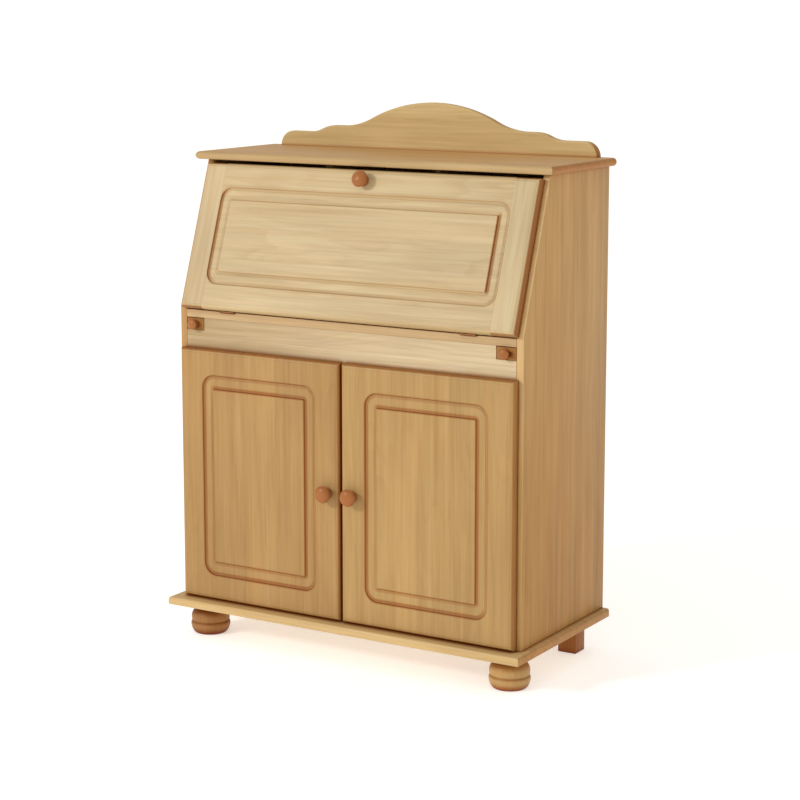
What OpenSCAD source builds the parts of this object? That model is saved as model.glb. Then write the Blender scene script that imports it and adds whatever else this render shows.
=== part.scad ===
// Writing desk: a sloping fall front over a two-door cupboard, on turned
// front feet and square back feet, with a shaped upstand along the back.
// The origin is on the floor, at the middle of the overall width and depth.
// +Z is up, the front faces -Y, and all sizes are in millimetres.

/* [Case] */
// Width over the two side panels
body_w = 830; // [800:10:900]
// Depth of the side panels, front edge to back edge
body_d = 370; // [365:5:400]
// Thickness of the side panels
side_t = 16; // [15:1:18]
// Thickness of the top, base and desk boards
board_t = 17; // [16:1:18]
// Height of the feet
foot_h = 70; // [66:1:80]
// Height of the writing surface above the floor
writing_h = 716; // [706:1:730]
// Height of the side panels' top ends above the floor
case_top = 1029; // [1020:1:1050]
// How far the top board stands out beyond each side panel
top_side = 16; // [12:1:20]
// How far the top board stands out in front of the side panels
top_front = 26; // [22:1:30]
// How far the base board stands out beyond each side panel
base_side = 15; // [12:1:20]
// How far the base board stands out in front of the side panels
base_front = 41; // [36:1:46]
// Rounding of the base board's upper edge
base_round = 6; // [4:1:8]
// Thickness of the back panel
back_t = 4; // [3:0.5:5]

/* [Fall front] */
// Lean of the closed flap, from the vertical
slope_deg = 19.3; // [18:0.1:20]
// Thickness of the flap
flap_t = 18; // [17:0.5:19]
// Width of the flap
flap_w = 808; // [780:2:808]
// Width of each cross-grained end of the flap
flap_end_w = 55; // [50:1:70]
// Rounding of the flap's and doors' front edges
edge_round = 8; // [5:1:8]
// Distance from the flap's hinge axis forward of the case's front edge
axis_out = 2.6; // [2.6:0.1:3]
// Distance of the flap hinges from the middle of the desk
flap_hinge_x = 292; // [260:1:310]
// Length of a flap hinge
flap_hinge_l = 36; // [30:1:42]

/* [Doors] */
// Thickness of the doors
door_t = 17; // [17:0.5:19]
// Height of the doors' lower edges above the floor
door_low = 90; // [89.5:0.5:92]
// Height of the doors' upper edges above the floor
door_high = 635; // [630:1:640]
// Overlap of a door on its side panel's front edge
door_lap = 6; // [5:0.5:7]
// Gap between the two doors
door_gap = 5; // [3:0.5:6]
// Gap between a closed door and the case
door_back = 2; // [2:0.25:3]
// Distance of the outer groove from the door's edges, left and right
groove_x = 62; // [55:1:70]
// Distance of the outer groove from the door's edges, top and bottom
groove_z = 58; // [50:1:65]
// Distance between the outer and inner groove, left and right
groove_step = 20; // [18:1:24]

/* [Pull-out supports] */
// Width of a pull-out support
loper_w = 43; // [38:1:44]
// Length of a pull-out support
loper_l = 330; // [320:1:335]
// Travel of a pull-out support
loper_travel = 250; // [220:5:250]

/* [Knobs] */
// Diameter of the door and flap knobs
knob_d = 36; // [32:1:38]
// How far a door knob stands out
knob_l = 29; // [27:1:31]
// Diameter of the knobs on the pull-out supports
small_knob_d = 22; // [18:1:24]
// Height of the door knobs above the floor
knob_z = 361; // [340:1:380]

/* [Feet] */
// Distance of the front feet from the middle of the desk
foot_x = 372; // [360:1:376]
// Distance of the front feet behind the case's front edge
foot_y = 33; // [28:1:40]
// Width of the square back feet
block_w = 42; // [38:1:46]

/* [Upstand] */
// Half the length of the upstand
crest_half = 395; // [390:1:400]
// Thickness of the upstand
crest_t = 16; // [14:1:18]
// Height of the upstand at its two ends
crest_low = 32; // [30:1:34]
// Height of the upstand where its dome begins
crest_mid = 47.5; // [46:0.5:50]
// Height of the upstand at the middle
crest_high = 103; // [100:1:106]

/* [Interior] */
// Thickness of the pigeonhole boards
inner_t = 12; // [10:1:14]
// Distance of the pigeonholes behind the case's front edge
inner_y = 150; // [145:1:160]
// Height of the lower pigeonholes
inner_low = 84; // [80:1:90]
// Distance of the pigeonhole dividers from the middle of the desk
divider_x = 133; // [120:1:140]
// Height of the cupboard shelf's underside above the floor
shelf_z = 352; // [330:2:380]

/* [Hidden] */

half_w = body_w/2;
in_w = half_w - side_t;                     // inner face of a side panel
base_top = foot_h + board_t;
desk_low = writing_h - board_t;
top_z = case_top + board_t;
front_y = -(body_d - (door_back + door_t + knob_l))/2;
axis_z = writing_h;
touch = 0.3;                                // flap to side panels, closed
knee_z = axis_z + axis_out/tan(slope_deg) - touch/sin(slope_deg);
slope_y = (case_top - knee_z)*tan(slope_deg);
flap_low = 2;                               // flap's lower edge above its axis
flap_len = (case_top - 5 - flap_t*sin(slope_deg) - axis_z)/cos(slope_deg);
rail_low = door_high - 10;
rail_t = 16;
loper_top = axis_z - flap_t - 0.4;
loper_low = 672.3 - 716 + writing_h;
loper_x = in_w - 1 - loper_w;
loper_slot = in_w - loper_w - 2;            // inner side of a support's opening
ledge_t = 12;
ledge_z = loper_low - 0.3;
fence_t = 13;
back_y = body_d - back_t;
door_out = in_w + door_lap;
door_in = door_gap/2;
door_w = door_out - door_in;
door_h = door_high - door_low;
door_face = -door_back - door_t;
cup_in = 22;                                // cup centre from the door's edge
cup_x = door_out - cup_in;
cup_zs = [door_low + 80, door_high - 80];
crest_y = body_d - crest_t;
shelf_t = 16;
pivot_r = 1.5;
barrel_r = 2.4;

pine = [0.84, 0.70, 0.47];
pale_pine = [0.88, 0.78, 0.58];
stained = [0.70, 0.45, 0.28];
steel = [0.75, 0.75, 0.77];
bronze = [0.55, 0.40, 0.26];

// ---------- placing ----------

// desk frame: y = 0 at the front edges of the side panels
module at() translate([0, front_y, 0]) children();

// flap frame: x along the hinge, y inwards, z up the slope, origin on the axis
module on_flap() at() translate([0, -axis_out, axis_z])
    rotate([-slope_deg, 0, 0]) children();

// the same thing on the left and on the right
module left() mirror([1, 0, 0]) children();

// a flat shape drawn as (y, z), extruded along +X from x0
module along_x(x0, len) translate([x0, 0, 0])
    rotate([90, 0, 90]) linear_extrude(len) children();

// a flat shape drawn as (x, z), extruded along +Y from y0
module along_y(y0, len) translate([0, y0 + len, 0])
    rotate([90, 0, 0]) linear_extrude(len) children();

module box(a, b) translate(a) cube(b - a);

// ---------- edges and turnings ----------

// board end: rectangle a..b across, 0..t deep, both front corners rounded
module round_front(a, b, t, r) union() {
    translate([a, r]) square([b - a, t - r]);
    translate([a + r, 0]) square([b - a - 2*r, r + 0.5]);
    for (x = [a + r, b - r]) translate([x, r]) circle(r, $fn = 48);
}

// panel with rounded front edges on all four sides, face at y = 0
module raised_panel(x0, x1, z0, z1, t, r) intersection() {
    translate([0, 0, z0]) linear_extrude(z1 - z0) round_front(x0, x1, t, r);
    along_x(x0 - 1, x1 - x0 + 2) rotate(90) mirror([0, 1])
        round_front(z0, z1, t, r);
}

// cutter for a round-bottomed groove along a rounded rectangle in the face y = 0
module groove(x0, x1, z0, z1, rc, w, depth) {
    r = (w*w/4 + depth*depth)/(2*depth);
    translate([0, depth - r, 0]) {
        for (z = [z0, z1]) translate([x0 + rc, 0, z]) rotate([0, 90, 0])
            cylinder(h = x1 - x0 - 2*rc, r = r, $fn = 32);
        for (x = [x0, x1]) translate([x, 0, z0 + rc])
            cylinder(h = z1 - z0 - 2*rc, r = r, $fn = 32);
        for (c = [[x1, z1, 0], [x0, z1, 90], [x0, z0, 180], [x1, z0, 270]])
            translate([c[0] + (c[0] == x0 ? rc : -rc), 0,
                       c[1] + (c[1] == z0 ? rc : -rc)])
            rotate([90, 0, 0]) rotate([0, 0, c[2]])
            rotate_extrude(angle = 90, $fn = 64) translate([rc, 0])
                circle(r, $fn = 32);
    }
}

// rectangle with rounded corners
module round_rect(x0, x1, z0, z1, r) union() {
    translate([x0 + r, z0]) square([x1 - x0 - 2*r, z1 - z0]);
    translate([x0, z0 + r]) square([x1 - x0, z1 - z0 - 2*r]);
    for (x = [x0 + r, x1 - r], z = [z0 + r, z1 - r])
        translate([x, z]) circle(r, $fn = 64);
}

// the moulding routed into doors and flap: a shallow channel round a field,
// with a round-bottomed groove along its outer and its inner edge
module moulding(x0, x1, z0, z1, dx, dz) {
    groove(x0, x1, z0, z1, 25, 6, 2.6);
    groove(x0 + dx, x1 - dx, z0 + dz, z1 - dz, 6, 6, 2.4);
    along_y(-1, 2.9) difference() {
        round_rect(x0, x1, z0, z1, 25);
        round_rect(x0 + dx, x1 - dx, z0 + dz, z1 - dz, 6);
    }
}

// turned knob: axis along -Y, seat at y = 0, head of diameter d, length l
module knob(d, l, spigot = 0) rotate([90, 0, 0]) {
    k = d/36;
    rotate_extrude($fn = 72) intersection() {
        union() {
            translate([0, l - 17*k]) square([9.5*k, 17*k]);
            translate([9.5*k, l - 8.5*k]) circle(8.5*k, $fn = 48);
            square([8.4*k, l - 12*k]);
            translate([0, 0]) square([11.5*k, 1.6*k]);
            translate([8.6*k, 2.6*k]) circle(2.9*k, $fn = 32);
        }
        translate([0, l - 30*k]) circle(30*k, $fn = 96);
        translate([0, 0]) square([d, l]);
    }
    if (spigot > 0) translate([0, 0, -spigot])
        cylinder(h = spigot + 1, r = 4*k, $fn = 32);
}

// turned foot: a neck, an upper bulge and, below a shallow notch, a lower one
module bun_foot() difference() {
    rotate_extrude($fn = 96) intersection() {
        union() {
            square([30.5, foot_h]);
            translate([20, foot_h/2]) circle(21.6, $fn = 72);
            translate([33.6, 18.8]) circle(9.2, $fn = 48);
            translate([16, 18]) circle(25.8, $fn = 72);
            translate([0, 18]) square([33, foot_h/2]);
        }
        square([60, foot_h]);
    }
    translate([0, 0, foot_h - 32]) cylinder(h = 40, r = 4.05, $fn = 32);
}

// countersunk screw: axis along -Z from a flush head at z = 0
module screw(d, len) union() {
    translate([0, 0, -len]) cylinder(h = len - 0.01, r = d/2, $fn = 24);
    rotate_extrude($fn = 32)
        polygon([[0, 0], [d, 0], [d, -0.3], [d/2, -d/2 - 0.3],
                 [0, -d/2 - 0.3]]);
}
module screw_hole(d, len) screw(d + 0.1, len + 0.5);

// ---------- dowels that join the case ----------

dowel_d = 8;
// each dowel: [centre, direction, length, diameter]
case_dowel_list = concat(
    [for (s = [-1, 1], y = [135, 235, 335])
        [[s*(half_w - side_t/2), y, case_top - 4], 2, 30, dowel_d]],
    [for (s = [-1, 1], y = [40, 185, 330])
        [[s*(half_w - side_t/2), y, base_top + 4], 2, 30, dowel_d]],
    [for (s = [-1, 1], y = [60, 185, 310])
        [[s*(in_w - 5), y, desk_low + board_t/2], 0, 30, dowel_d]],
    [for (s = [-1, 1], z = [rail_low + 12, rail_low + 32])
        [[s*(in_w - 5), rail_t/2, z], 0, 30, 6]],
    [for (x = [-300, 0, 300])
        [[x, body_d - crest_t/2, top_z + 4], 2, 26, 6]],
    [for (s = [-1, 1], y = [inner_y + 40, inner_y + 170])
        [[s*(in_w - 5), y, writing_h + inner_low + inner_t/2], 0, 26, 6]]);

module case_dowel_set(extra) for (d = case_dowel_list) translate(d[0])
    rotate([0, d[1] == 0 ? 90 : 0, 0])
    cylinder(h = d[2] + extra, r = d[3]/2 + extra/10, center = true, $fn = 24);

// ---------- case ----------

module side_shape() polygon([[0, base_top], [body_d, base_top],
    [body_d, case_top], [slope_y, case_top], [0, knee_z]]);

module side_panel() color(pine) at() difference() {
    along_x(in_w, side_t) side_shape();
    box([in_w - 1, back_y, base_top - 1], [in_w + 8, body_d + 1, case_top + 1]);
    case_dowel_set(0.5);
    nail_set(0.1);
    translate([in_w, 0, 0]) for (z = cup_zs, dz = [-16, 16])
        translate([0, 37, z + dz]) rotate([0, 90, 0])
            cylinder(h = 12.5, r = 2.05, $fn = 24);
    for (y = [60, 310]) translate([in_w - 1, y, shelf_z - 3])
        rotate([0, 90, 0]) cylinder(h = 10.5, r = 2.55, $fn = 24);
}
module side_panel_right() side_panel();
module side_panel_left() left() side_panel();

// half-round front and side edges
module top_board() color(pine) at() difference() {
    x1 = half_w + top_side;
    y0 = slope_y - top_front;
    r = board_t/2;
    intersection() {
        translate([0, 0, case_top]) along_x(-x1, 2*x1) union() {
            translate([y0 + r, 0]) square([body_d - y0 - r, board_t]);
            translate([y0 + r, r]) circle(r, $fn = 64);
        }
        translate([0, 0, case_top]) along_y(y0 - 1, body_d - y0 + 1) union() {
            translate([-x1 + r, 0]) square([2*x1 - 2*r, board_t]);
            for (s = [-1, 1]) translate([s*(x1 - r), r]) circle(r, $fn = 64);
        }
    }
    case_dowel_set(0.5);
}

// square lower edge, rounded upper edge on the front and sides
module base_edge(a, b) union() {
    translate([a, 0]) square([b - a, board_t - base_round]);
    translate([a + base_round, 0]) square([b - a - 2*base_round, board_t]);
    for (x = [a + base_round, b - base_round])
        translate([x, board_t - base_round]) circle(base_round, $fn = 48);
}
module base_board() color(pine) at() difference() {
    x1 = half_w + base_side;
    intersection() {
        translate([0, 0, foot_h]) along_x(-x1, 2*x1)
            base_edge(-base_front, body_d + 2*base_round);
        translate([0, 0, foot_h]) along_y(-base_front - 1, body_d + base_front + 1)
            base_edge(-x1, x1);
    }
    case_dowel_set(0.5);
    foot_bolt_set(0.1);
}

module back_panel() color(pine) at() difference() {
    box([-in_w - 7.5, back_y, base_top], [in_w + 7.5, body_d, case_top]);
    nail_set(0.1);
}

module desk_board() color(pine) at() difference() {
    box([-in_w, 0, desk_low], [in_w, back_y, writing_h]);
    case_dowel_set(0.5);
    for (s = [-1, 1]) {
        hx = s*flap_hinge_x;
        box([hx - flap_hinge_l/2 - 0.1, -1, writing_h - 1.3],
            [hx + flap_hinge_l/2 + 0.1, 20.1, writing_h + 1]);
        for (dx = [-11, 11]) translate([hx + dx, 12, writing_h])
            screw_hole(3, 13);
    }
}

// notched at both upper corners for the pull-out supports
module front_rail() color(pine) at() difference() {
    box([-in_w, 0, rail_low], [in_w, rail_t, desk_low]);
    for (s = [-1, 1]) box([s > 0 ? loper_slot : -in_w - 1, -1, ledge_z],
        [s > 0 ? in_w + 1 : -loper_slot, rail_t + 1, desk_low + 1]);
    case_dowel_set(0.5);
}

// ---------- upstand: arcs and flats, front edge eased ----------

dome_r = 340;
dome_x = 155;
dome_a = asin(dome_x/dome_r);
flare_r = (crest_high - dome_r*(1 - cos(dome_a)) - crest_mid)
    /(1 - cos(dome_a));
flare_x = dome_x + flare_r*sin(dome_a);
step_a = 25;
step_r = (crest_mid - crest_low)/(2*(1 - cos(step_a)));
step_x = 248;
// right half of the outline at inset e, from the middle outwards
function crest_right(e) = concat(
    [for (i = [0:14]) let (a = dome_a*i/14)
        [(dome_r - e)*sin(a), crest_high - dome_r + (dome_r - e)*cos(a)]],
    [for (i = [1:8]) let (a = dome_a*(1 - i/8))
        [flare_x - (flare_r + e)*sin(a),
         crest_mid + flare_r - (flare_r + e)*cos(a)]],
    [for (i = [0:6]) let (a = step_a*i/6)
        [step_x + (step_r - e)*sin(a),
         crest_mid - step_r + (step_r - e)*cos(a)]],
    [for (i = [1:6]) let (a = step_a*(1 - i/6))
        [step_x + 2*step_r*sin(step_a) - (step_r + e)*sin(a),
         crest_low + step_r - (step_r + e)*cos(a)]],
    [for (i = [0:12]) let (a = 90*i/12)
        [crest_half - crest_low + (crest_low - e)*sin(a),
         (crest_low - e)*cos(a)]]);
function crest_outline(e) = let (r = crest_right(e), n = len(r))
    concat([for (i = [n-1:-1:1]) [-r[i][0], r[i][1]]], r);
// rings from the back face to the eased front edge: [y, inset]
crest_rings = concat([[crest_t, 0]],
    [for (a = [0:15:90]) [4*(1 - sin(a)), 4*(1 - cos(a))]]);
module crest() color(pine) at() difference() {
    n = len(crest_outline(0));
    m = len(crest_rings);
    translate([0, crest_y, top_z]) polyhedron(
        points = [for (q = crest_rings) each
            [for (p = crest_outline(q[1])) [p[0], q[0], p[1]]]],
        faces = concat([[for (i = [n-1:-1:0]) i]],
            [[for (i = [0:n-1]) (m - 1)*n + i]],
            [for (k = [0:m-2], i = [0:n-1]) let (j = (i + 1) % n)
                each [[k*n + i, k*n + j, (k + 1)*n + i],
                      [k*n + j, (k + 1)*n + j, (k + 1)*n + i]]]));
    case_dowel_set(0.5);
}

// ---------- guides for the pull-out supports ----------

module loper_guide() color(pine) at() {
    difference() {
        box([loper_slot - fence_t, rail_t, ledge_z - ledge_t],
            [in_w, 345, ledge_z]);
        box([loper_x + loper_w/2 - 4.6, 290 - loper_travel - 4.5,
             ledge_z - 8],
            [loper_x + loper_w/2 + 4.6, 300, ledge_z + 1]);
    }
    box([loper_slot - fence_t, rail_t, ledge_z + 0.05],
        [loper_slot, 345, desk_low]);
}
module loper_guide_right() loper_guide();
module loper_guide_left() left() loper_guide();

// ---------- cupboard ----------

module cupboard_shelf() color(pine) at()
    box([-in_w + 0.5, 22, shelf_z], [in_w - 0.5, back_y - 2, shelf_z + shelf_t]);

module shelf_pins() color(steel) at() for (s = [0, 1], y = [60, 310])
    mirror([s, 0, 0]) translate([0, y, shelf_z - 3]) {
        translate([in_w - 10, 0, 0]) rotate([0, 90, 0])
            cylinder(h = 19, r = 2.5, $fn = 24);
        translate([in_w - 1.2, 0, 0]) rotate([0, 90, 0])
            cylinder(h = 1.2, r = 3, $fn = 24);
    }

// ---------- pigeonholes ----------

inner_z = writing_h + inner_low;
module pigeonhole_shelf() color(pine) at() difference() {
    box([-in_w, inner_y, inner_z], [in_w, back_y, inner_z + inner_t]);
    case_dowel_set(0.5);
}
module divider(x, z0, z1) color(pine) at()
    box([x - inner_t/2, inner_y, z0], [x + inner_t/2, back_y, z1]);
module divider_lower_left() divider(-divider_x, writing_h, inner_z);
module divider_lower_right() divider(divider_x, writing_h, inner_z);
module divider_upper_left() divider(-divider_x, inner_z + inner_t, case_top);
module divider_upper_right() divider(divider_x, inner_z + inner_t, case_top);

// ---------- feet ----------

module front_foot_right() color(pine) at()
    translate([foot_x, foot_y, 0]) bun_foot();
module front_foot_left() left() front_foot_right();

block_x = half_w - 67;
block_y = body_d - 77;
module rear_foot_right() color(pine) at() difference() {
    box([block_x, block_y, 0], [block_x + block_w, block_y + block_w, foot_h]);
    foot_bolt_set(0.1);
}
module rear_foot_left() left() rear_foot_right();

module foot_bolt_set(extra) for (s = [-1, 1],
        p = [[foot_x, foot_y], [block_x + block_w/2, block_y + block_w/2]])
    translate([s*p[0], p[1], foot_h - 30])
        cylinder(h = 42 + extra, r = 4 + extra/2, $fn = 32);
module foot_bolts() color(steel) at() foot_bolt_set(0);
module case_dowels() color(pale_pine) at() case_dowel_set(0);

// ---------- nails of the back panel ----------

module nail_set(extra) for (s = [-1, 1], i = [0:4])
    translate([s*(in_w + 4), body_d - 14, 150 + 205*i]) rotate([-90, 0, 0]) {
        cylinder(h = 13.2, r = 0.8 + extra/2, $fn = 16);
        translate([0, 0, 13]) cylinder(h = 1 + extra, r = 1.8 + extra/2, $fn = 16);
    }
module back_panel_nails() color(steel) at() nail_set(0);

// ---------- concealed door hinges ----------

// arm and mounting plate on the right side panel's inner face
module hinge_arm() difference() {
    union() {
        box([in_w - 2.5, 28, -25], [in_w, 46, 25]);
        box([in_w - 9, 22, -7], [in_w - 2, 72, 7]);
        translate([0, 0, -6]) linear_extrude(12) polygon([
            [in_w - 9, 74], [in_w - 9, 16], [in_w - 5, 8], [in_w - 5, 1.5],
            [in_w - 8, 1.5], [in_w - 15, 10], [in_w - 15, 74]]);
    }
    for (dz = [-16, 16]) translate([in_w - 2.5, 37, dz])
        rotate([0, -90, 0]) screw_hole(4, 14);
    box([in_w - 13, 12, -4.4], [in_w - 11, 90, 4.4]);
    for (y = [30, 58]) translate([in_w - 20, y, 0]) rotate([0, 90, 0])
        cylinder(h = 8, r = 2.4, $fn = 24);
}
module hinge_arms_right() color(steel) at() for (z = cup_zs)
    translate([0, 0, z]) hinge_arm();
module hinge_arms_left() left() hinge_arms_right();

module hinge_arm_screws() color(steel) at() for (s = [0, 1]) mirror([s, 0, 0])
    for (z = cup_zs, dz = [-16, 16]) translate([in_w - 2.5, 37, z + dz])
        rotate([0, -90, 0]) screw(4, 14);

// cup with its flange, crossed by a link pin, seen from behind the door
module hinge_cup() translate([cup_x, -door_back, 0]) {
    difference() {
        union() {
            rotate([90, 0, 0]) translate([0, 0, -1]) linear_extrude(1)
                union() {
                    circle(19.5, $fn = 64);
                    square([15, 48], center = true);
                    for (s = [-1, 1]) translate([0, 24*s]) circle(7.5, $fn = 32);
                }
            rotate([90, 0, 0]) cylinder(h = 11.8, r = 17.5, $fn = 64);
        }
        translate([0, 1.5, 0]) rotate([90, 0, 0])
            cylinder(h = 12, r = 16.3, $fn = 64);
        for (s = [-1, 1]) translate([0, 1, 24*s]) rotate([-90, 0, 0])
            screw_hole(3.4, 14);
    }
    translate([11, -6, -12.5]) cylinder(h = 25, r = pivot_r, $fn = 24);
    translate([3, -3.5, -16.6]) cylinder(h = 33.2, r = pivot_r, $fn = 24);
}
module hinge_cups_right() color(steel) at() for (z = cup_zs)
    translate([0, 0, z]) hinge_cup();
module hinge_cups_left() left() hinge_cups_right();

// ---------- doors ----------

knob_x = door_in + 28;
module door() color(pine) at() difference() {
    translate([0, door_face, 0])
        raised_panel(door_in, door_out, door_low, door_high, door_t, edge_round);
    translate([0, door_face, 0])
        moulding(door_in + groove_x, door_out - groove_x,
            door_low + groove_z, door_high - groove_z,
            groove_step, groove_step + 3);
    for (z = cup_zs) translate([cup_x, -door_back, z]) {
        translate([0, 1, 0]) rotate([90, 0, 0])
            cylinder(h = 13, r = 17.6, $fn = 64);
        for (s = [-1, 1]) translate([0, 1, 24*s]) rotate([-90, 0, 0])
            screw_hole(3.4, 14);
    }
    translate([knob_x, 0, knob_z]) rotate([90, 0, 0])
        cylinder(h = 40, r = 2.05, $fn = 24);
}
module door_right() door();
module door_left() left() door();

module pull(x, z) at() translate([x, door_face, z]) difference() {
    knob(knob_d, knob_l);
    translate([0, 1, 0]) rotate([90, 0, 0]) cylinder(h = 16, r = 2.05, $fn = 24);
}
module door_knob_right() color(stained) pull(knob_x, knob_z);
module door_knob_left() left() door_knob_right();

// pan-headed screw that holds a knob, head on the inner face
module knob_screw(len) union() {
    cylinder(h = len, r = 2, $fn = 24);
    translate([0, 0, -1.8]) cylinder(h = 1.8, r = 3.8, $fn = 32);
}
module door_screws_right() color(steel) at() {
    for (z = cup_zs, s = [-1, 1]) translate([cup_x, 1 - door_back, z + 24*s])
        rotate([-90, 0, 0]) screw(3.4, 14);
    translate([knob_x, -door_back, knob_z]) rotate([90, 0, 0])
        knob_screw(door_t + 13);
}
module door_screws_left() left() door_screws_right();

// ---------- flap ----------

joint_x = flap_w/2 - flap_end_w;
flap_knob_s = 295;
tongue = 10;
flap_groove_low = 59;
flap_groove_high = 266;

module flap_solid() difference() {
    translate([0, -flap_t, 0])
        raised_panel(-flap_w/2, flap_w/2, flap_low, flap_len, flap_t, edge_round);
    translate([0, -flap_t, 0])
        moulding(-flap_w/2 + 58, flap_w/2 - 58, flap_groove_low,
            flap_groove_high, 19, 21);
    for (s = [-1, 1]) {
        hx = s*flap_hinge_x;
        box([hx - flap_hinge_l/2 - 0.1, -1.3, 0],
            [hx + flap_hinge_l/2 + 0.1, 1, 22.1]);
        translate([hx - flap_hinge_l/2 - 0.2, 0, 0]) rotate([0, 90, 0])
            cylinder(h = flap_hinge_l + 0.4, r = barrel_r + 0.4, $fn = 48);
        for (dx = [-11, 11]) translate([hx + dx, 0, 14]) rotate([-90, 0, 0])
            screw_hole(3, 13);
    }
    translate([0, 1, flap_knob_s]) rotate([90, 0, 0])
        cylinder(h = 40, r = 2.05, $fn = 24);
}
// centre board, with a tongue at each end
module flap_panel() color(pale_pine) on_flap() intersection() {
    flap_solid();
    union() {
        box([-joint_x, -flap_t - 1, 0], [joint_x, 1, flap_len + 1]);
        box([-joint_x - tongue, -flap_t/2 - 3, flap_low + 14],
            [joint_x + tongue, -flap_t/2 + 3, flap_len - 12.5]);
    }
}
module flap_end_right() color(pale_pine) on_flap() difference() {
    intersection() {
        flap_solid();
        box([joint_x, -flap_t - 1, 0], [flap_w/2 + 1, 1, flap_len + 1]);
    }
    box([joint_x - 1, -flap_t/2 - 3.05, flap_low + 13.5],
        [joint_x + tongue + 0.3, -flap_t/2 + 3.05, flap_len - 12]);
}
module flap_end_left() left() flap_end_right();

module flap_knob() color(stained) on_flap()
    translate([0, -flap_t, flap_knob_s]) difference() {
        knob(knob_d, knob_l);
        translate([0, 1, 0]) rotate([90, 0, 0])
            cylinder(h = 16, r = 2.05, $fn = 24);
    }

// butt hinges: three knuckles on a pin, the middle one on the flap
knuckle = (flap_hinge_l - 0.4)/3;
module knuckles(list) for (i = list)
    translate([-flap_hinge_l/2 + i*(knuckle + 0.2), 0, 0]) rotate([0, 90, 0])
        cylinder(h = knuckle, r = barrel_r, $fn = 48);
module pin_bore() translate([-flap_hinge_l, 0, 0]) rotate([0, 90, 0])
    cylinder(h = 2*flap_hinge_l, r = 1.25, $fn = 32);

module flap_hinge_desk_leaves() color(bronze) at() for (s = [-1, 1])
    translate([s*flap_hinge_x, -axis_out, axis_z]) difference() {
        union() {
            knuckles([0, 2]);
            for (i = [0, 2])
                box([-flap_hinge_l/2 + i*(knuckle + 0.2), 0, -1.2],
                    [-flap_hinge_l/2 + i*(knuckle + 0.2) + knuckle,
                     axis_out + 1, 0]);
            box([-flap_hinge_l/2, axis_out + 0.2, -1.2],
                [flap_hinge_l/2, axis_out + 20, 0]);
        }
        pin_bore();
        for (dx = [-11, 11]) translate([dx, axis_out + 12, 0])
            screw_hole(3, 13);
    }
module desk_leaf_screws() color(bronze) at() for (s = [-1, 1], dx = [-11, 11])
    translate([s*flap_hinge_x + dx, 12, writing_h]) screw(3, 13);
module flap_hinge_pins() color(bronze) at() for (s = [-1, 1])
    translate([s*flap_hinge_x - flap_hinge_l/2, -axis_out, axis_z])
        rotate([0, 90, 0]) cylinder(h = flap_hinge_l, r = 1.2, $fn = 32);

module flap_hinge_flap_leaves() color(bronze) on_flap() for (s = [-1, 1])
    translate([s*flap_hinge_x, 0, 0]) difference() {
        union() {
            knuckles([1]);
            box([-knuckle/2, -1.2, 0], [knuckle/2, 0, 5]);
            box([-flap_hinge_l/2, -1.2, barrel_r + 0.6],
                [flap_hinge_l/2, 0, 22]);
        }
        pin_bore();
        for (dx = [-11, 11]) translate([dx, 0, 14]) rotate([-90, 0, 0])
            screw_hole(3, 13);
    }
module flap_screws() color(bronze) on_flap() {
    for (s = [-1, 1], dx = [-11, 11]) translate([s*flap_hinge_x + dx, 0, 14])
        rotate([-90, 0, 0]) screw(3, 13);
    translate([0, 0, flap_knob_s]) rotate([90, 0, 0])
        knob_screw(flap_t + 13);
}

// ---------- pull-out supports ----------

stop_y = 290;
loper_mid = loper_x + loper_w/2;
module loper_right() color(stained) at() difference() {
    box([loper_x, 0, loper_low], [loper_x + loper_w, loper_l, loper_top]);
    translate([loper_mid, stop_y, loper_low - 1]) cylinder(h = 19, r = 4.05, $fn = 32);
    translate([loper_mid, -1, (loper_low + loper_top)/2]) rotate([-90, 0, 0])
        cylinder(h = 14, r = 2.5, $fn = 32);
}
module loper_left() left() loper_right();
module loper_knob_right() color(stained) at()
    translate([loper_mid, 0, (loper_low + loper_top)/2])
        knob(small_knob_d, 18, 12);
module loper_knob_left() left() loper_knob_right();
module loper_stop_right() color(pale_pine) at()
    translate([loper_mid, stop_y, ledge_z - 6.5])
        cylinder(h = 24, r = 4, $fn = 32);
module loper_stop_left() left() loper_stop_right();

// ---------- small drawers ----------

bay_in = divider_x + inner_t/2;
dr_x0 = bay_in + 1.5;
dr_x1 = in_w - 1.5;
dr_z0 = writing_h + 1;
dr_z1 = inner_z - 1.5;
dr_front = 14;
dr_side = 8;
dr_back = back_y - 6;
module drawer_front_right() color(pine) at() difference() {
    box([dr_x0, inner_y, dr_z0], [dr_x1, inner_y + dr_front, dr_z1]);
    translate([(dr_x0 + dr_x1)/2, inner_y - 1, (dr_z0 + dr_z1)/2])
        rotate([-90, 0, 0]) cylinder(h = 12, r = 2.35, $fn = 32);
    box([dr_x0 + dr_side - 4, inner_y + dr_front - 5, dr_z0 + 6],
        [dr_x1 - dr_side + 4, inner_y + dr_front + 1, dr_z0 + 10]);
}
module drawer_front_left() left() drawer_front_right();
module drawer_box_right() color(pale_pine) at() {
    y0 = inner_y + dr_front + 0.05;
    difference() {
        for (x = [dr_x0 + 0.5, dr_x1 - 0.5 - dr_side])
            box([x, y0, dr_z0], [x + dr_side, dr_back, dr_z1 - 4]);
        box([dr_x0 + dr_side - 4, y0 - 1, dr_z0 + 6],
            [dr_x1 - dr_side + 4, dr_back + 1, dr_z0 + 10]);
    }
    box([dr_x0 + 0.55 + dr_side, dr_back - 8, dr_z0 + 10.05],
        [dr_x1 - 0.55 - dr_side, dr_back, dr_z1 - 4]);
}
module drawer_box_left() left() drawer_box_right();
module drawer_bottom_right() color(pale_pine) at()
    box([dr_x0 + dr_side - 3.8, inner_y + dr_front - 4.8, dr_z0 + 6.05],
        [dr_x1 - dr_side + 3.8, dr_back - 0.2, dr_z0 + 9.95]);
module drawer_bottom_left() left() drawer_bottom_right();
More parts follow.
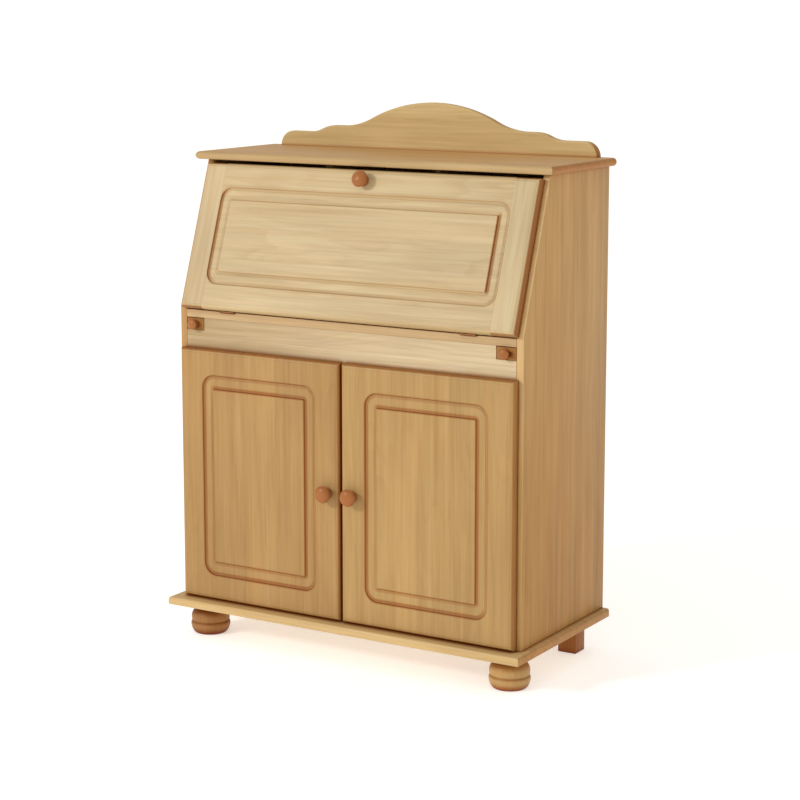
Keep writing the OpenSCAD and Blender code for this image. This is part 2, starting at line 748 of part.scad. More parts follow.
module drawer_knob_right() color(stained) at()
    translate([(dr_x0 + dr_x1)/2, inner_y, (dr_z0 + dr_z1)/2])
        knob(20, 15, 10);
module drawer_knob_left() left() drawer_knob_right();

// ---------- assembly ----------

side_panel_left();
side_panel_right();
top_board();
base_board();
back_panel();
desk_board();
front_rail();
crest();
loper_guide_left();
loper_guide_right();
cupboard_shelf();
shelf_pins();
pigeonhole_shelf();
divider_lower_left();
divider_lower_right();
divider_upper_left();
divider_upper_right();
front_foot_left();
front_foot_right();
rear_foot_left();
rear_foot_right();
foot_bolts();
case_dowels();
hinge_arms_left();
hinge_arms_right();
hinge_arm_screws();
flap_hinge_desk_leaves();
flap_hinge_pins();
desk_leaf_screws();
back_panel_nails();
flap_panel();
flap_end_left();
flap_end_right();
flap_knob();
flap_hinge_flap_leaves();
flap_screws();
door_left();
door_knob_left();
hinge_cups_left();
door_screws_left();
door_right();
door_knob_right();
hinge_cups_right();
door_screws_right();
loper_left();
loper_right();
loper_knob_left();
loper_knob_right();
loper_stop_left();
loper_stop_right();
drawer_front_left();
drawer_box_left();
drawer_bottom_left();
drawer_knob_left();
drawer_front_right();
drawer_box_right();
drawer_bottom_right();
drawer_knob_right();
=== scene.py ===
import bpy, bmesh, math
from mathutils import Vector, Matrix


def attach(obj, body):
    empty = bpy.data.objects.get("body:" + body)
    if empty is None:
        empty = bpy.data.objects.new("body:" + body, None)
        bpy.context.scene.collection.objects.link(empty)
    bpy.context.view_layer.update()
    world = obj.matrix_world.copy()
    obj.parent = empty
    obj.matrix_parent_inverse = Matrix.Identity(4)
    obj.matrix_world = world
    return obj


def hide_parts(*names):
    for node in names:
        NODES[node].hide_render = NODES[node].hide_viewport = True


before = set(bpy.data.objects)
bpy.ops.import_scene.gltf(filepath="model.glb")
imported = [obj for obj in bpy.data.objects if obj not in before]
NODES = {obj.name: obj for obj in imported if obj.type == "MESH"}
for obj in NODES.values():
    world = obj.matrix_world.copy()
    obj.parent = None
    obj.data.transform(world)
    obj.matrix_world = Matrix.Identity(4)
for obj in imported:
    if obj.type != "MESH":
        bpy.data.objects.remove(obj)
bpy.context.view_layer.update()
SLOPE = math.radians(19.3)          # lean of the closed flap
FY = -0.161                         # front edges of the side panels
AXIS_Y, AXIS_Z = FY - 0.0026, 0.716  # flap hinge axis
FLAP_LEN = (1029 - 5 - 18 * math.sin(SLOPE) - 716) / math.cos(SLOPE)
EASE = True

# ---------------------------------------------------------------- camera
sc = bpy.context.scene
cam = bpy.data.objects.new("camera", bpy.data.cameras.new("camera"))
sc.collection.objects.link(cam)
sc.camera = cam
cam.data.sensor_width = 36.0
cam.data.lens = 2121.2 / 800 * 36
cam.data.shift_x = -0.0009
cam.data.shift_y = -0.075
cam.location = (2.3192, -3.7593, 1.3619)
cam.rotation_euler = (math.radians(90 - 9.042), 0, math.radians(31.255))
cam.data.clip_end = 100
sc.view_settings.view_transform = "Standard"

# ---------------------------------------------------------------- node helpers
class Tree:
    """Small helper that adds and joins shader nodes."""
    def __init__(self, mat):
        mat.use_nodes = True
        self.t = mat.node_tree
        self.t.nodes.clear()
        self.x = 0

    def node(self, kind, **props):
        n = self.t.nodes.new(kind)
        self.x += 40
        n.location = (self.x, 0)
        for k, v in props.items():
            setattr(n, k, v)
        return n

    def put(self, sock, v):
        if isinstance(v, bpy.types.NodeSocket):
            self.t.links.new(v, sock)
        elif v is not None:
            sock.default_value = v

    def m(self, op, a, b=None, c=None, clamp=False):
        n = self.node("ShaderNodeMath", operation=op, use_clamp=clamp)
        for i, v in enumerate((a, b, c)):
            if v is not None:
                self.put(n.inputs[i], v)
        return n.outputs[0]

    def vm(self, op, a, b=None, scale=None):
        n = self.node("ShaderNodeVectorMath", operation=op)
        self.put(n.inputs[0], a)
        if b is not None:
            self.put(n.inputs[1], b)
        if scale is not None:
            self.put(n.inputs["Scale"], scale)
        return n.outputs["Value"] if op in ("LENGTH", "DOT_PRODUCT") else n.outputs[0]

    def xyz(self, x, y, z):
        n = self.node("ShaderNodeCombineXYZ")
        for i, v in enumerate((x, y, z)):
            self.put(n.inputs[i], v)
        return n.outputs[0]

    def split(self, v):
        n = self.node("ShaderNodeSeparateXYZ")
        self.put(n.inputs[0], v)
        return n.outputs[0], n.outputs[1], n.outputs[2]

    def noise(self, v, scale=1.0, detail=2.0, rough=0.5, dist=0.0):
        n = self.node("ShaderNodeTexNoise")
        self.put(n.inputs["Vector"], v)
        n.inputs["Scale"].default_value = scale
        n.inputs["Detail"].default_value = detail
        n.inputs["Roughness"].default_value = rough
        n.inputs["Distortion"].default_value = dist
        return n.outputs["Fac"] if "Fac" in n.outputs else n.outputs[0]

    def rand(self, w):
        n = self.node("ShaderNodeTexWhiteNoise", noise_dimensions="1D")
        self.put(n.inputs["W"], w)
        s = self.node("ShaderNodeSeparateColor")
        self.put(s.inputs[0], n.outputs["Color"])
        return s.outputs[0], s.outputs[1], s.outputs[2]

    def ramp(self, v, a, b, lo=0.0, hi=1.0):
        n = self.node("ShaderNodeMapRange", interpolation_type="SMOOTHSTEP")
        self.put(n.inputs["Value"], v)
        n.inputs["From Min"].default_value = a
        n.inputs["From Max"].default_value = b
        n.inputs["To Min"].default_value = lo
        n.inputs["To Max"].default_value = hi
        return n.outputs[0]

    def mix(self, f, a, b, kind="MIX"):
        n = self.node("ShaderNodeMix", data_type="RGBA", blend_type=kind)
        self.put(n.inputs[0], f)
        self.put(n.inputs[6], a)
        self.put(n.inputs[7], b)
        return n.outputs[2]


def rgb(*c):
    """sRGB 0..255 to linear RGBA."""
    f = lambda v: v / 12.92 if v <= 0.04045 else ((v + 0.055) / 1.055) ** 2.4
    return tuple(f(v / 255) for v in c) + (1.0,)


WOODS = {}


def wood(name, grain="Z", across="X", tone=(192, 152, 100), late=(0.80, 0.70, 0.56),
         stave=0.085, vary=0.05, seed=0.0, contrast=0.5, spacing=0.0042,
         tilt=0.0, end=(0.74, 0.55, 0.40), crevice_shade=(0.62, 0.29, 0.12),
         rough=0.46, coat=0.03, ao=0.011, fibre=0.05, offset=0.0,
         wave=1.0, round_edge=0.0012, face=None, stain_and_light=(0.72, 0.50, 0.33),
         end_stain_and_light=(0.62, 0.40, 0.25), streaky=1.0, seam=0.06, routed=None, tone_and_light_ramp=None):
    """Lacquered softwood: staves glued side by side, growth rings round an off-centre pith, fibres, darker end grain;
    painted shade in crevices, and painted light and shade on edges and along the board where a call asks for it.
    """
    mat = bpy.data.materials.new(name)
    t = Tree(mat)
    tc = t.node("ShaderNodeTexCoord")
    pos, nor = tc.outputs["Object"], tc.outputs["Normal"]
    if tilt:
        def turn(v, centre):
            r = t.node("ShaderNodeVectorRotate", rotation_type="X_AXIS")
            t.put(r.inputs["Vector"], v)
            r.inputs["Center"].default_value = centre
            r.inputs["Angle"].default_value = tilt
            return r.outputs[0]
        pos = turn(pos, (0, AXIS_Y, AXIS_Z))
        nor = turn(nor, (0, 0, 0))
    p, n = t.split(pos), t.split(nor)
    ax = {"X": 0, "Y": 1, "Z": 2}
    gi, ui = ax[grain], ax[across]
    vi = 3 - gi - ui
    G, U, V = p[gi], p[ui], p[vi]
    # staves
    su = t.m("ADD", t.m("DIVIDE", U, stave), 40.0 + seed * 1.37 + offset)
    idx = t.m("FLOOR", su)
    u = t.m("MULTIPLY", t.m("SUBTRACT", t.m("SUBTRACT", su, idx), 0.5), stave)
    key = t.m("ADD", idx, seed * 17.0)
    r1, r2, r3 = t.rand(key)
    r4, r5, r6 = t.rand(t.m("ADD", key, 311.7))
    # slow wander of the grain along the stave
    shift = t.m("MULTIPLY", key, 3.17)
    w1 = t.noise(t.xyz(t.m("MULTIPLY", G, 1.6), t.m("ADD", t.m("MULTIPLY", U, 7.0), shift), t.m("MULTIPLY", V, 7.0)), 1.0, 2.0)
    w2 = t.noise(t.xyz(t.m("ADD", t.m("MULTIPLY", G, 5.5), 9.0), t.m("ADD", t.m("MULTIPLY", U, 26.0), shift), t.m("MULTIPLY", V, 26.0)), 1.0, 2.0)
    warp = t.m("ADD", t.m("MULTIPLY", t.m("SUBTRACT", w1, 0.5), 0.040 * wave),
               t.m("MULTIPLY", t.m("SUBTRACT", w2, 0.5), 0.007 * wave))
    du = t.m("ADD", t.m("SUBTRACT", u, t.m("MULTIPLY", t.m("SUBTRACT", r1, 0.5), stave * 1.3)), warp)
    lean = t.m("MULTIPLY", G, t.m("MULTIPLY", t.m("SUBTRACT", r3, 0.5), 0.035))
    dv = t.m("ADD", t.m("ADD", t.m("SUBTRACT", V, t.m("ADD", 0.02, t.m("MULTIPLY", r2, 0.09))), lean), warp)
    r = t.m("SQRT", t.m("ADD", t.m("MULTIPLY", du, du), t.m("MULTIPLY", dv, dv)))
    # ring spacing varies from year to year
    vary_r = t.noise(t.xyz(t.m("MULTIPLY", r, 75.0), t.m("MULTIPLY", key, 1.7), 0.0), 1.0, 1.0)
    rings = t.m("ADD", t.m("DIVIDE", r, spacing), t.m("MULTIPLY", vary_r, 2.2))
    fr = t.m("FRACT", rings)
    year = t.m("FLOOR", rings)
    y1, y2, y3 = t.rand(t.m("ADD", year, t.m("MULTIPLY", key, 13.0)))
    late_m = t.m("MULTIPLY", t.ramp(fr, 0.30, 0.90), t.ramp(fr, 0.90, 1.0, 1.0, 0.0))
    late_m = t.m("MULTIPLY", late_m, t.m("ADD", 0.35, t.m("MULTIPLY", y1, 0.85)))
    # fibres and streaks
    fib = t.noise(t.xyz(t.m("MULTIPLY", G, 7.0), t.m("MULTIPLY", U, 420.0), t.m("MULTIPLY", V, 420.0)), 1.0, 3.0, 0.6)
    streak = t.noise(t.xyz(t.m("MULTIPLY", G, 2.4), t.m("ADD", t.m("MULTIPLY", U, 55.0), shift), t.m("MULTIPLY", V, 55.0)), 1.0, 1.0)
    streak2 = t.noise(t.xyz(t.m("MULTIPLY", G, 5.0), t.m("ADD", t.m("MULTIPLY", U, 170.0), shift), t.m("MULTIPLY", V, 170.0)), 1.0, 2.0, 0.6)
    dash = t.noise(t.xyz(t.m("MULTIPLY", G, 9.0), t.m("ADD", t.m("MULTIPLY", U, 330.0), shift), t.m("MULTIPLY", V, 330.0)), 1.0, 1.0)
    dash_m = t.ramp(dash, 0.64, 0.80)
    cloud = t.noise(t.xyz(t.m("MULTIPLY", G, 2.6), t.m("ADD", t.m("MULTIPLY", U, 5.0), shift), t.m("MULTIPLY", V, 5.0)), 1.0, 2.0)
    pores = t.noise(t.xyz(t.m("MULTIPLY", G, 60.0), t.m("MULTIPLY", U, 1500.0), t.m("MULTIPLY", V, 1500.0)), 1.0, 1.0)
    pore_m = t.ramp(pores, 0.66, 0.74)
    light = rgb(*tone)
    dark = tuple(a * b for a, b in zip(light, late)) + (1.0,)
    col = t.mix(t.m("MULTIPLY", late_m, contrast), light, dark)
    k = t.m("ADD", 1.0, t.m("MULTIPLY", t.m("SUBTRACT", fib, 0.5), fibre * 1.6))
    k = t.m("ADD", k, t.m("MULTIPLY", t.m("SUBTRACT", streak, 0.5), 0.27 * streaky))
    k = t.m("ADD", k, t.m("MULTIPLY", t.m("SUBTRACT", streak2, 0.5), 0.36 * streaky))
    k = t.m("ADD", k, t.m("MULTIPLY", t.m("SUBTRACT", cloud, 0.5), 0.36))
    k = t.m("SUBTRACT", k, t.m("MULTIPLY", dash_m, 0.12 * streaky))
    # the glue lines between staves
    glue = t.ramp(t.m("SUBTRACT", 0.5 * stave, t.m("ABSOLUTE", u)), 0.0, 0.0012, 1.0, 0.0)
    k = t.m("SUBTRACT", k, t.m("MULTIPLY", glue, seam))
    k = t.m("ADD", k, t.m("MULTIPLY", t.m("SUBTRACT", r4, 0.5), vary * 2))
    k = t.m("SUBTRACT", k, t.m("MULTIPLY", pore_m, 0.05))
    # staves and streaks differ a little in warmth as well as in tone
    warm = t.m("ADD", t.m("MULTIPLY", t.m("SUBTRACT", r5, 0.5), vary * 1.2), t.m("MULTIPLY", t.m("SUBTRACT", streak, 0.5), -0.22 * streaky))
    tint = t.xyz(t.m("ADD", 1.0, t.m("MULTIPLY", warm, 0.35)), t.m("SUBTRACT", 1.0, t.m("MULTIPLY", warm, 0.25)), t.m("SUBTRACT", 1.0, warm))
    col = t.vm("MULTIPLY", col, tint)
    col = t.vm("SCALE", col, scale=k)
    if tone_and_light_ramp:
        # a colour ramp along one axis: on some boards a change of tone towards one end or edge, on the rail painted
        # light that brightens it towards the right
        axis, a0, a1, f0, f1 = tone_and_light_ramp
        col = t.vm("MULTIPLY", col, t.mix(t.ramp(p[ax[axis]], a0, a1), tuple(f0) + (1.0,), tuple(f1) + (1.0,)))
    if routed:
        # darkening in the routed lines: real stain where the cutter crossed the grain, plus painted shade that makes
        # each line darker on the side turned away from the light at the left
        cx, cz, lines, fac = routed
        X, Z = t.m("SUBTRACT", p[0], cx), t.m("SUBTRACT", p[2], cz)
        line_stain_and_shade = None
        for hx, hz, rc, av, bv, ah, bh, off, w in lines:
            qx = t.m("MAXIMUM", t.m("SUBTRACT", t.m("ABSOLUTE", X), hx - rc), 0.0)
            qz = t.m("MAXIMUM", t.m("SUBTRACT", t.m("ABSOLUTE", Z), hz - rc), 0.0)
            ln = t.m("SQRT", t.m("ADD", t.m("ADD", t.m("MULTIPLY", qx, qx), t.m("MULTIPLY", qz, qz)), 1e-9))
            line = t.ramp(t.m("ABSOLUTE", t.m("SUBTRACT", ln, rc + off)), 0.3 * w, w, 1.0, 0.0)
            dx, dz = t.m("DIVIDE", qx, ln), t.m("DIVIDE", qz, ln)
            sx = t.ramp(X, -0.02, 0.02, av - bv, av + bv)
            sz = t.ramp(Z, -0.02, 0.02, ah - bh, ah + bh)
            wt = t.m("ADD", t.m("MULTIPLY", t.m("MULTIPLY", dx, dx), sx), t.m("MULTIPLY", t.m("MULTIPLY", dz, dz), sz))
            wt = t.m("MULTIPLY", wt, t.m("ADD", 0.72, t.m("MULTIPLY", cloud, 0.56)))
            line = t.m("MULTIPLY", line, wt)
            line_stain_and_shade = line if line_stain_and_shade is None else t.m("ADD", line_stain_and_shade, line, clamp=True)
        front = t.ramp(n[1], -0.15, -0.05, 1.0, 0.0)
        col = t.mix(t.m("MULTIPLY", line_stain_and_shade, front), col, t.vm("MULTIPLY", col, tuple(fac)))
    # end grain and routed or rounded surfaces drink more stain; the same factor also paints light and shade where a
    # call asks for it: lighter on the right side panel's front edge, darker on the right flap end
    e = t.ramp(t.m("ABSOLUTE", n[gi]), 0.10, 0.75)
    if face:
        wall = t.ramp(t.m("ABSOLUTE", n[ax[face]]), 0.76, 0.985, 1.0, 0.0)
        fac = t.mix(e, tuple(stain_and_light) + (1.0,), tuple(end_stain_and_light) + (1.0,))
        col = t.mix(wall, col, t.vm("MULTIPLY", col, fac))
    else:
        col = t.mix(e, col, t.vm("MULTIPLY", col, tuple(end)))
    # painted shade: the ambient-occlusion node darkens and reddens the colour in gaps, corners and crevices, where
    # shade falls
    if ao:
        a = t.node("ShaderNodeAmbientOcclusion", samples=8)
        a.inputs["Distance"].default_value = ao
        am = t.ramp(a.outputs["AO"], 0.25, 0.95, 1.0, 0.0)
        col = t.mix(am, col, t.vm("MULTIPLY", col, tuple(crevice_shade)))
    b = t.node("ShaderNodeBsdfPrincipled")
    t.put(b.inputs["Base Color"], col)
    t.put(b.inputs["Roughness"], t.m("ADD", rough, t.m("MULTIPLY", t.m("SUBTRACT", fib, 0.5), 0.16)))
    b.inputs["Specular IOR Level"].default_value = 0.14
    b.inputs["Coat Weight"].default_value = coat
    b.inputs["Coat Roughness"].default_value = 0.28
    h = t.m("ADD", t.m("MULTIPLY", late_m, 0.5), t.m("MULTIPLY", fib, 0.5))
    h = t.m("SUBTRACT", h, t.m("MULTIPLY", pore_m, 0.5))
    bp = t.node("ShaderNodeBump")
    bp.inputs["Strength"].default_value = 0.35
    bp.inputs["Distance"].default_value = 0.0003
    t.put(bp.inputs["Height"], h)
    if round_edge:
        bv = t.node("ShaderNodeBevel", samples=4)
        bv.inputs["Radius"].default_value = round_edge
        t.put(bp.inputs["Normal"], bv.outputs[0])
    t.put(b.inputs["Normal"], bp.outputs[0])
    out = t.node("ShaderNodeOutputMaterial")
    t.put(out.inputs[0], b.outputs[0])
    WOODS[name] = mat
    return mat


def metal(name, colour, rough=0.3, brushed=0.15):
    mat = bpy.data.materials.new(name)
    t = Tree(mat)
    pos = t.node("ShaderNodeTexCoord").outputs["Object"]
    x, y, z = t.split(pos)
    br = t.noise(t.xyz(t.m("MULTIPLY", x, 300.0), t.m("MULTIPLY", y, 300.0), t.m("MULTIPLY", z, 3000.0)), 1.0, 2.0)
    cl = t.noise(pos, 90.0, 3.0)
    b = t.node("ShaderNodeBsdfPrincipled")
    b.inputs["Metallic"].default_value = 1.0
    base = rgb(*colour)
    worn = tuple(v * 0.62 for v in base[:3]) + (1.0,)
    t.put(b.inputs["Base Color"], t.mix(t.ramp(cl, 0.45, 0.75, 0.0, 0.6), base, worn))
    t.put(b.inputs["Roughness"], t.m("ADD", rough, t.m("MULTIPLY", t.m("SUBTRACT", br, 0.5), brushed)))
    bp = t.node("ShaderNodeBump")
    bp.inputs["Strength"].default_value = 0.2
    bp.inputs["Distance"].default_value = 0.0001
    t.put(bp.inputs["Height"], br)
    bv = t.node("ShaderNodeBevel", samples=4)
    bv.inputs["Radius"].default_value = 0.0003
    t.put(bp.inputs["Normal"], bv.outputs[0])
    t.put(b.inputs["Normal"], bp.outputs[0])
    out = t.node("ShaderNodeOutputMaterial")
    t.put(out.inputs[0], b.outputs[0])
    return mat


# ---------------------------------------------------------------- finishes
M = {}


def door_line_stain_and_shade(side):
    """Routed lines of a door: half sizes, corner radius, weights left/right and low/high, offset and width, in metres;
    the left/right weights are painted shade, darker on the side of a line turned from the light, the low/high weights
    carry the stain on cross grain.
    """
    cx = side * 0.20375
    return (cx, 0.3625, [(0.13925, 0.2145, 0.025, 0.52, -0.28, 0.72, -0.24, 0.0010, 0.0074),
                         (0.11925, 0.1915, 0.006, 0.58, 0.36, 0.72, 0.22, -0.0010, 0.0072)], (0.78, 0.55, 0.38))


# routed lines of the flap, columns as for the doors: the left/right weights are painted shade on the side turned from
# the light, added to the stain on the cross-grained ends
FLAP_LINE_STAIN_AND_SHADE = (0.0, AXIS_Z + 0.1625, [(0.346, 0.1035, 0.025, 0.56, -0.40, 0.16, 0.0, 0.0010, 0.0070),
                                     (0.327, 0.0825, 0.006, 0.58, 0.50, 0.13, 0.0, -0.0010, 0.0072)], (0.66, 0.44, 0.29))
# painted light: on the right side panel every face not turned to the side, chiefly its sloping front edge, is lightened
# where the flap's shadow falls on it; the ramp makes both side panels darker towards the bottom and lighter towards the
# top
M["side_r"] = wood("side_right_pine", "Z", "Y", (177, 138, 88), stave=0.055, vary=0.055, seed=3, contrast=0.14, streaky=1.2, ao=0.005, face="X", stain_and_light=(1.22, 1.38, 1.58), end_stain_and_light=(1.18, 1.34, 1.5),
                   tone_and_light_ramp=("Z", 0.15, 0.9, (0.93, 0.84, 0.66), (1.12, 1.14, 1.18)))
M["side_l"] = wood("side_left_pine", "Z", "Y", (177, 138, 88), stave=0.055, vary=0.055, seed=8, contrast=0.14, streaky=1.2, ao=0.005, end=(0.95, 0.90, 0.85),
                   tone_and_light_ramp=("Z", 0.15, 0.9, (0.93, 0.84, 0.66), (1.12, 1.14, 1.18)))
TOP_Y = min(v.co.y for v in NODES["top_board"].data.vertices)
M["top"] = wood("top_pine", "X", "Y", (195, 153, 98), stave=0.075, vary=0.02, seed=5, contrast=0.16,
                tone_and_light_ramp=("Y", TOP_Y + 0.004, TOP_Y + 0.010, (0.86, 1.0, 1.22), (1.0, 1.0, 1.0)))
M["base"] = wood("base_pine", "X", "Y", (201, 170, 119), stave=0.080, vary=0.02, seed=6, contrast=0.2)
M["crest"] = wood("crest_pine", "X", "Z", (198, 171, 120), stave=0.2, vary=0.01, seed=7, offset=0.4, contrast=0.16, end=(0.60, 0.36, 0.20))
DESK_Y = min(v.co.y for v in NODES["desk_board"].data.vertices)
M["desk"] = wood("desk_pine", "X", "Y", (204, 173, 125), stave=0.075, vary=0.02, seed=9, contrast=0.2,
                 tone_and_light_ramp=("Y", DESK_Y + 0.003, DESK_Y + 0.008, (0.84, 0.84, 0.90), (1.0, 1.0, 1.0)))
# painted light: the rail is darker at the left and brighter and paler at the right, as the light falls more strongly on
# the right
M["rail"] = wood("rail_pine", "X", "Z", (207, 178, 132), stave=0.2, vary=0.02, seed=10, contrast=0.25,
                 tone_and_light_ramp=("X", -0.4, 0.3, (0.68, 0.68, 0.70), (0.99, 1.10, 1.33)))
M["door_l"] = wood("door_left_pine", "Z", "X", (169, 133, 84), stave=0.078, vary=0.02, seed=11, contrast=0.16, ao=0.008, stain_and_light=(0.80, 0.60, 0.43), end_stain_and_light=(0.70, 0.48, 0.32),
                    face="Y", routed=door_line_stain_and_shade(-1))
M["door_r"] = wood("door_right_pine", "Z", "X", (173, 139, 89), stave=0.074, vary=0.02, seed=12, contrast=0.16, ao=0.008, stain_and_light=(0.80, 0.60, 0.43), end_stain_and_light=(0.70, 0.48, 0.32),
                    face="Y", routed=door_line_stain_and_shade(1))
M["flap"] = wood("flap_pine", "X", "Z", (192, 170, 130), stave=0.068, vary=0.015, seed=13, tilt=SLOPE, contrast=0.22, ao=0.007, face="Y",
                 stain_and_light=(0.90, 0.83, 0.72), end_stain_and_light=(0.66, 0.45, 0.3), routed=FLAP_LINE_STAIN_AND_SHADE)
M["flap_l"] = wood("flap_end_left_pine", "Z", "X", (191, 168, 129), stave=0.2, vary=0.0, seed=14, tilt=SLOPE, contrast=0.18, face="Y",
                   stain_and_light=(0.60, 0.37, 0.21), end_stain_and_light=(0.60, 0.39, 0.25))
# the right flap end's rounded edges are darker and redder than the left end's: stain plus painted shade on the end
# turned away from the light
M["flap_r"] = wood("flap_end_right_pine", "Z", "X", (190, 170, 131), stave=0.2, vary=0.0, seed=15, tilt=SLOPE, contrast=0.18, face="Y",
                   stain_and_light=(0.60, 0.32, 0.17), end_stain_and_light=(0.60, 0.39, 0.25))
M["foot"] = wood("foot_wood", "Z", "X", (184, 149, 97), stave=0.3, vary=0.0, seed=16, spacing=0.0035, contrast=0.3, ao=0.02)
# painted shade: the left front foot gets a darker copy of the foot wood for the shade the base board casts on it
M["foot_l"] = wood("foot_wood_left_painted_shade", "Z", "X", (157, 112, 66), stave=0.3, vary=0.0, seed=25, spacing=0.0035, contrast=0.3, ao=0.02)
# painted shade: the rear feet are given a much darker wood for the shadow under the base board
M["block"] = wood("rear_foot_wood_painted_shade", "Z", "X", (151, 94, 46), stave=0.3, vary=0.0, seed=24, spacing=0.003, contrast=0.3, ao=0.02)
M["knob"] = wood("knob_wood", "Y", "X", (160, 103, 56), stave=0.5, vary=0.0, seed=17, spacing=0.0022, rough=0.38, coat=0.18,
                 end=(0.95, 0.90, 0.84), contrast=0.35, streaky=0.5, seam=0.0, ao=0.012)
M["support"] = wood("support_wood", "Y", "X", (176, 128, 76), stave=0.5, vary=0.0, seed=18, spacing=0.003, end=(0.75, 0.66, 0.50), contrast=0.3)
M["inner"] = wood("inner_pine", "X", "Y", (206, 174, 124), stave=0.09, vary=0.02, seed=19, contrast=0.2)
M["upright"] = wood("inner_pine_upright", "Z", "Y", (206, 174, 124), stave=0.09, vary=0.02, seed=20, contrast=0.2)
M["deep"] = wood("inner_pine_deep", "Y", "Z", (208, 178, 130), stave=0.09, vary=0.02, seed=21, contrast=0.2)
M["back"] = wood("back_plywood", "Z", "X", (196, 160, 108), stave=0.31, vary=0.03, seed=22, spacing=0.009, contrast=0.25)
M["dowel"] = wood("dowel_beech", "Z", "X", (208, 170, 124), stave=0.5, vary=0.0, seed=23, spacing=0.002, contrast=0.3)
M["steel"] = metal("nickel_steel", (200, 200, 198))
M["bronze"] = metal("bronzed_brass", (122, 82, 50), 0.38)


def give(mat, *names):
    for n in names:
        o = NODES[n]
        o.data.materials.clear()
        o.data.materials.append(M[mat])


give("side_r", "side_panel_right")
give("side_l", "side_panel_left")
give("top", "top_board")
give("base", "base_board")
give("crest", "crest")
give("desk", "desk_board")
give("rail", "front_rail")
give("door_l", "door_left")
give("door_r", "door_right")
give("flap", "flap_panel")
give("flap_l", "flap_end_left")
give("flap_r", "flap_end_right")
give("foot", "front_foot_right")
give("foot_l", "front_foot_left")
give("block", "rear_foot_left", "rear_foot_right")
give("knob", *[n for n in NODES if "knob" in n])
give("support", "loper_left", "loper_right")
give("inner", "pigeonhole_shelf", "cupboard_shelf", "drawer_front_left", "drawer_front_right")
give("upright", "divider_lower_left", "divider_lower_right", "divider_upper_left", "divider_upper_right")
give("deep", "loper_guide_left", "loper_guide_right", "drawer_box_left", "drawer_box_right", "drawer_bottom_left", "drawer_bottom_right")
give("back", "back_panel")
give("dowel", "case_dowels", "loper_stop_left", "loper_stop_right")
give("steel", "foot_bolts", "shelf_pins", "hinge_arms_left", "hinge_arms_right", "hinge_arm_screws", "hinge_cups_left", "hinge_cups_right", "door_screws_left", "door_screws_right", "back_panel_nails")
give("bronze", "flap_hinge_desk_leaves", "flap_hinge_pins", "desk_leaf_screws", "flap_hinge_flap_leaves", "flap_screws")

# ---------------------------------------------------------------- mesh helpers
def desk(x, y, z):
    """Point of the desk's own frame in mm (y = 0 at the side panels' front edges) in row-frame metres."""
    return Vector((x / 1000, y / 1000 + FY, z / 1000))


def on_flap(x, y, s):
    """Point of the closed flap's frame: x across, y inwards, s up the slope, in mm."""
    c, k = math.cos(SLOPE), math.sin(SLOPE)
    return Vector((x / 1000, AXIS_Y + (y * c + s * k) / 1000, AXIS_Z + (-y * k + s * c) / 1000))


def new_object(name, verts, faces, mat, angle=38.0):
    me = bpy.data.meshes.new(name)
    me.from_pydata([tuple(v) for v in verts], [], faces)
    me.validate()
    bm = bmesh.new()
    bm.from_mesh(me)
    bmesh.ops.recalc_face_normals(bm, faces=bm.faces)
    bm.to_mesh(me)
    bm.free()
    shade(me, angle)
    me.materials.append(M[mat])
    o = bpy.data.objects.new(name, me)
    sc.collection.objects.link(o)
    return o


def shade(me, angle=38.0):
    me.shade_smooth()
    me.set_sharp_from_angle(angle=math.radians(angle))


def loft(name, rings, mat, place, angle=38.0):
    """Closed skin through rings of equal length, first and last ring capped."""
    n = len(rings[0])
    verts = [place(*p) for r in rings for p in r]
    faces = [list(range(n))]
    for k in range(len(rings) - 1):
        for i in range(n):
            j = (i + 1) % n
            faces.append((k * n + i, (k + 1) * n + i, (k + 1) * n + j, k * n + j))
    faces.append(list(range((len(rings) - 1) * n, len(rings) * n)))
    return new_object(name, verts, faces, mat, angle)


def rect_ring(x0, x1, z0, z1, r, y, n=14):
    """Rounded rectangle as (x, y, z) points."""
    out = []
    r = max(r, 0.05)
    for cx, cz, a0 in ((x1 - r, z1 - r, 0), (x0 + r, z1 - r, 90), (x0 + r, z0 + r, 180), (x1 - r, z0 + r, 270)):
        for i in range(n + 1):
            a = math.radians(a0 + 90 * i / n)
            out.append((cx + r * math.cos(a), y, cz + r * math.sin(a)))
    return out


def smooth_line(pts, k=6):
    """Catmull-Rom curve through the points."""
    out = []
    n = len(pts)
    for i in range(n - 1):
        p0, p1, p2, p3 = pts[max(i - 1, 0)], pts[i], pts[i + 1], pts[min(i + 2, n - 1)]
        for j in range(k):
            t = j / k
            out.append(tuple(0.5 * (2 * b + (c - a) * t + (2 * a - 5 * b + 4 * c - d) * t * t + (3 * b - a - 3 * c + d) * t ** 3)
                             for a, b, c, d in zip(p0, p1, p2, p3)))
    out.append(pts[-1])
    return out


def lathe(name, line, mat, place, seg=96, angle=40.0):
    """Turning: line of (radius, height); place(a, b, h) puts the point."""
    rings = [[(r * math.cos(2 * math.pi * i / seg), r * math.sin(2 * math.pi * i / seg), h) for i in range(seg)] for r, h in line]
    return loft(name, rings, mat, place, angle)


def cut(obj, *cutters):
    """Takes the cutters away from obj and removes them."""
    for c in cutters:
        m = obj.modifiers.new("cut", "BOOLEAN")
        m.operation = "DIFFERENCE"
        m.solver = "EXACT"
        m.object = c
    bpy.context.view_layer.update()
    dg = bpy.context.evaluated_depsgraph_get()
    me = bpy.data.meshes.new_from_object(obj.evaluated_get(dg))
    old = obj.data
    obj.modifiers.clear()
    obj.data = me
    bpy.data.meshes.remove(old)
    for c in cutters:
        d = c.data
        bpy.data.objects.remove(c)
        bpy.data.meshes.remove(d)
    shade(me)
    return obj


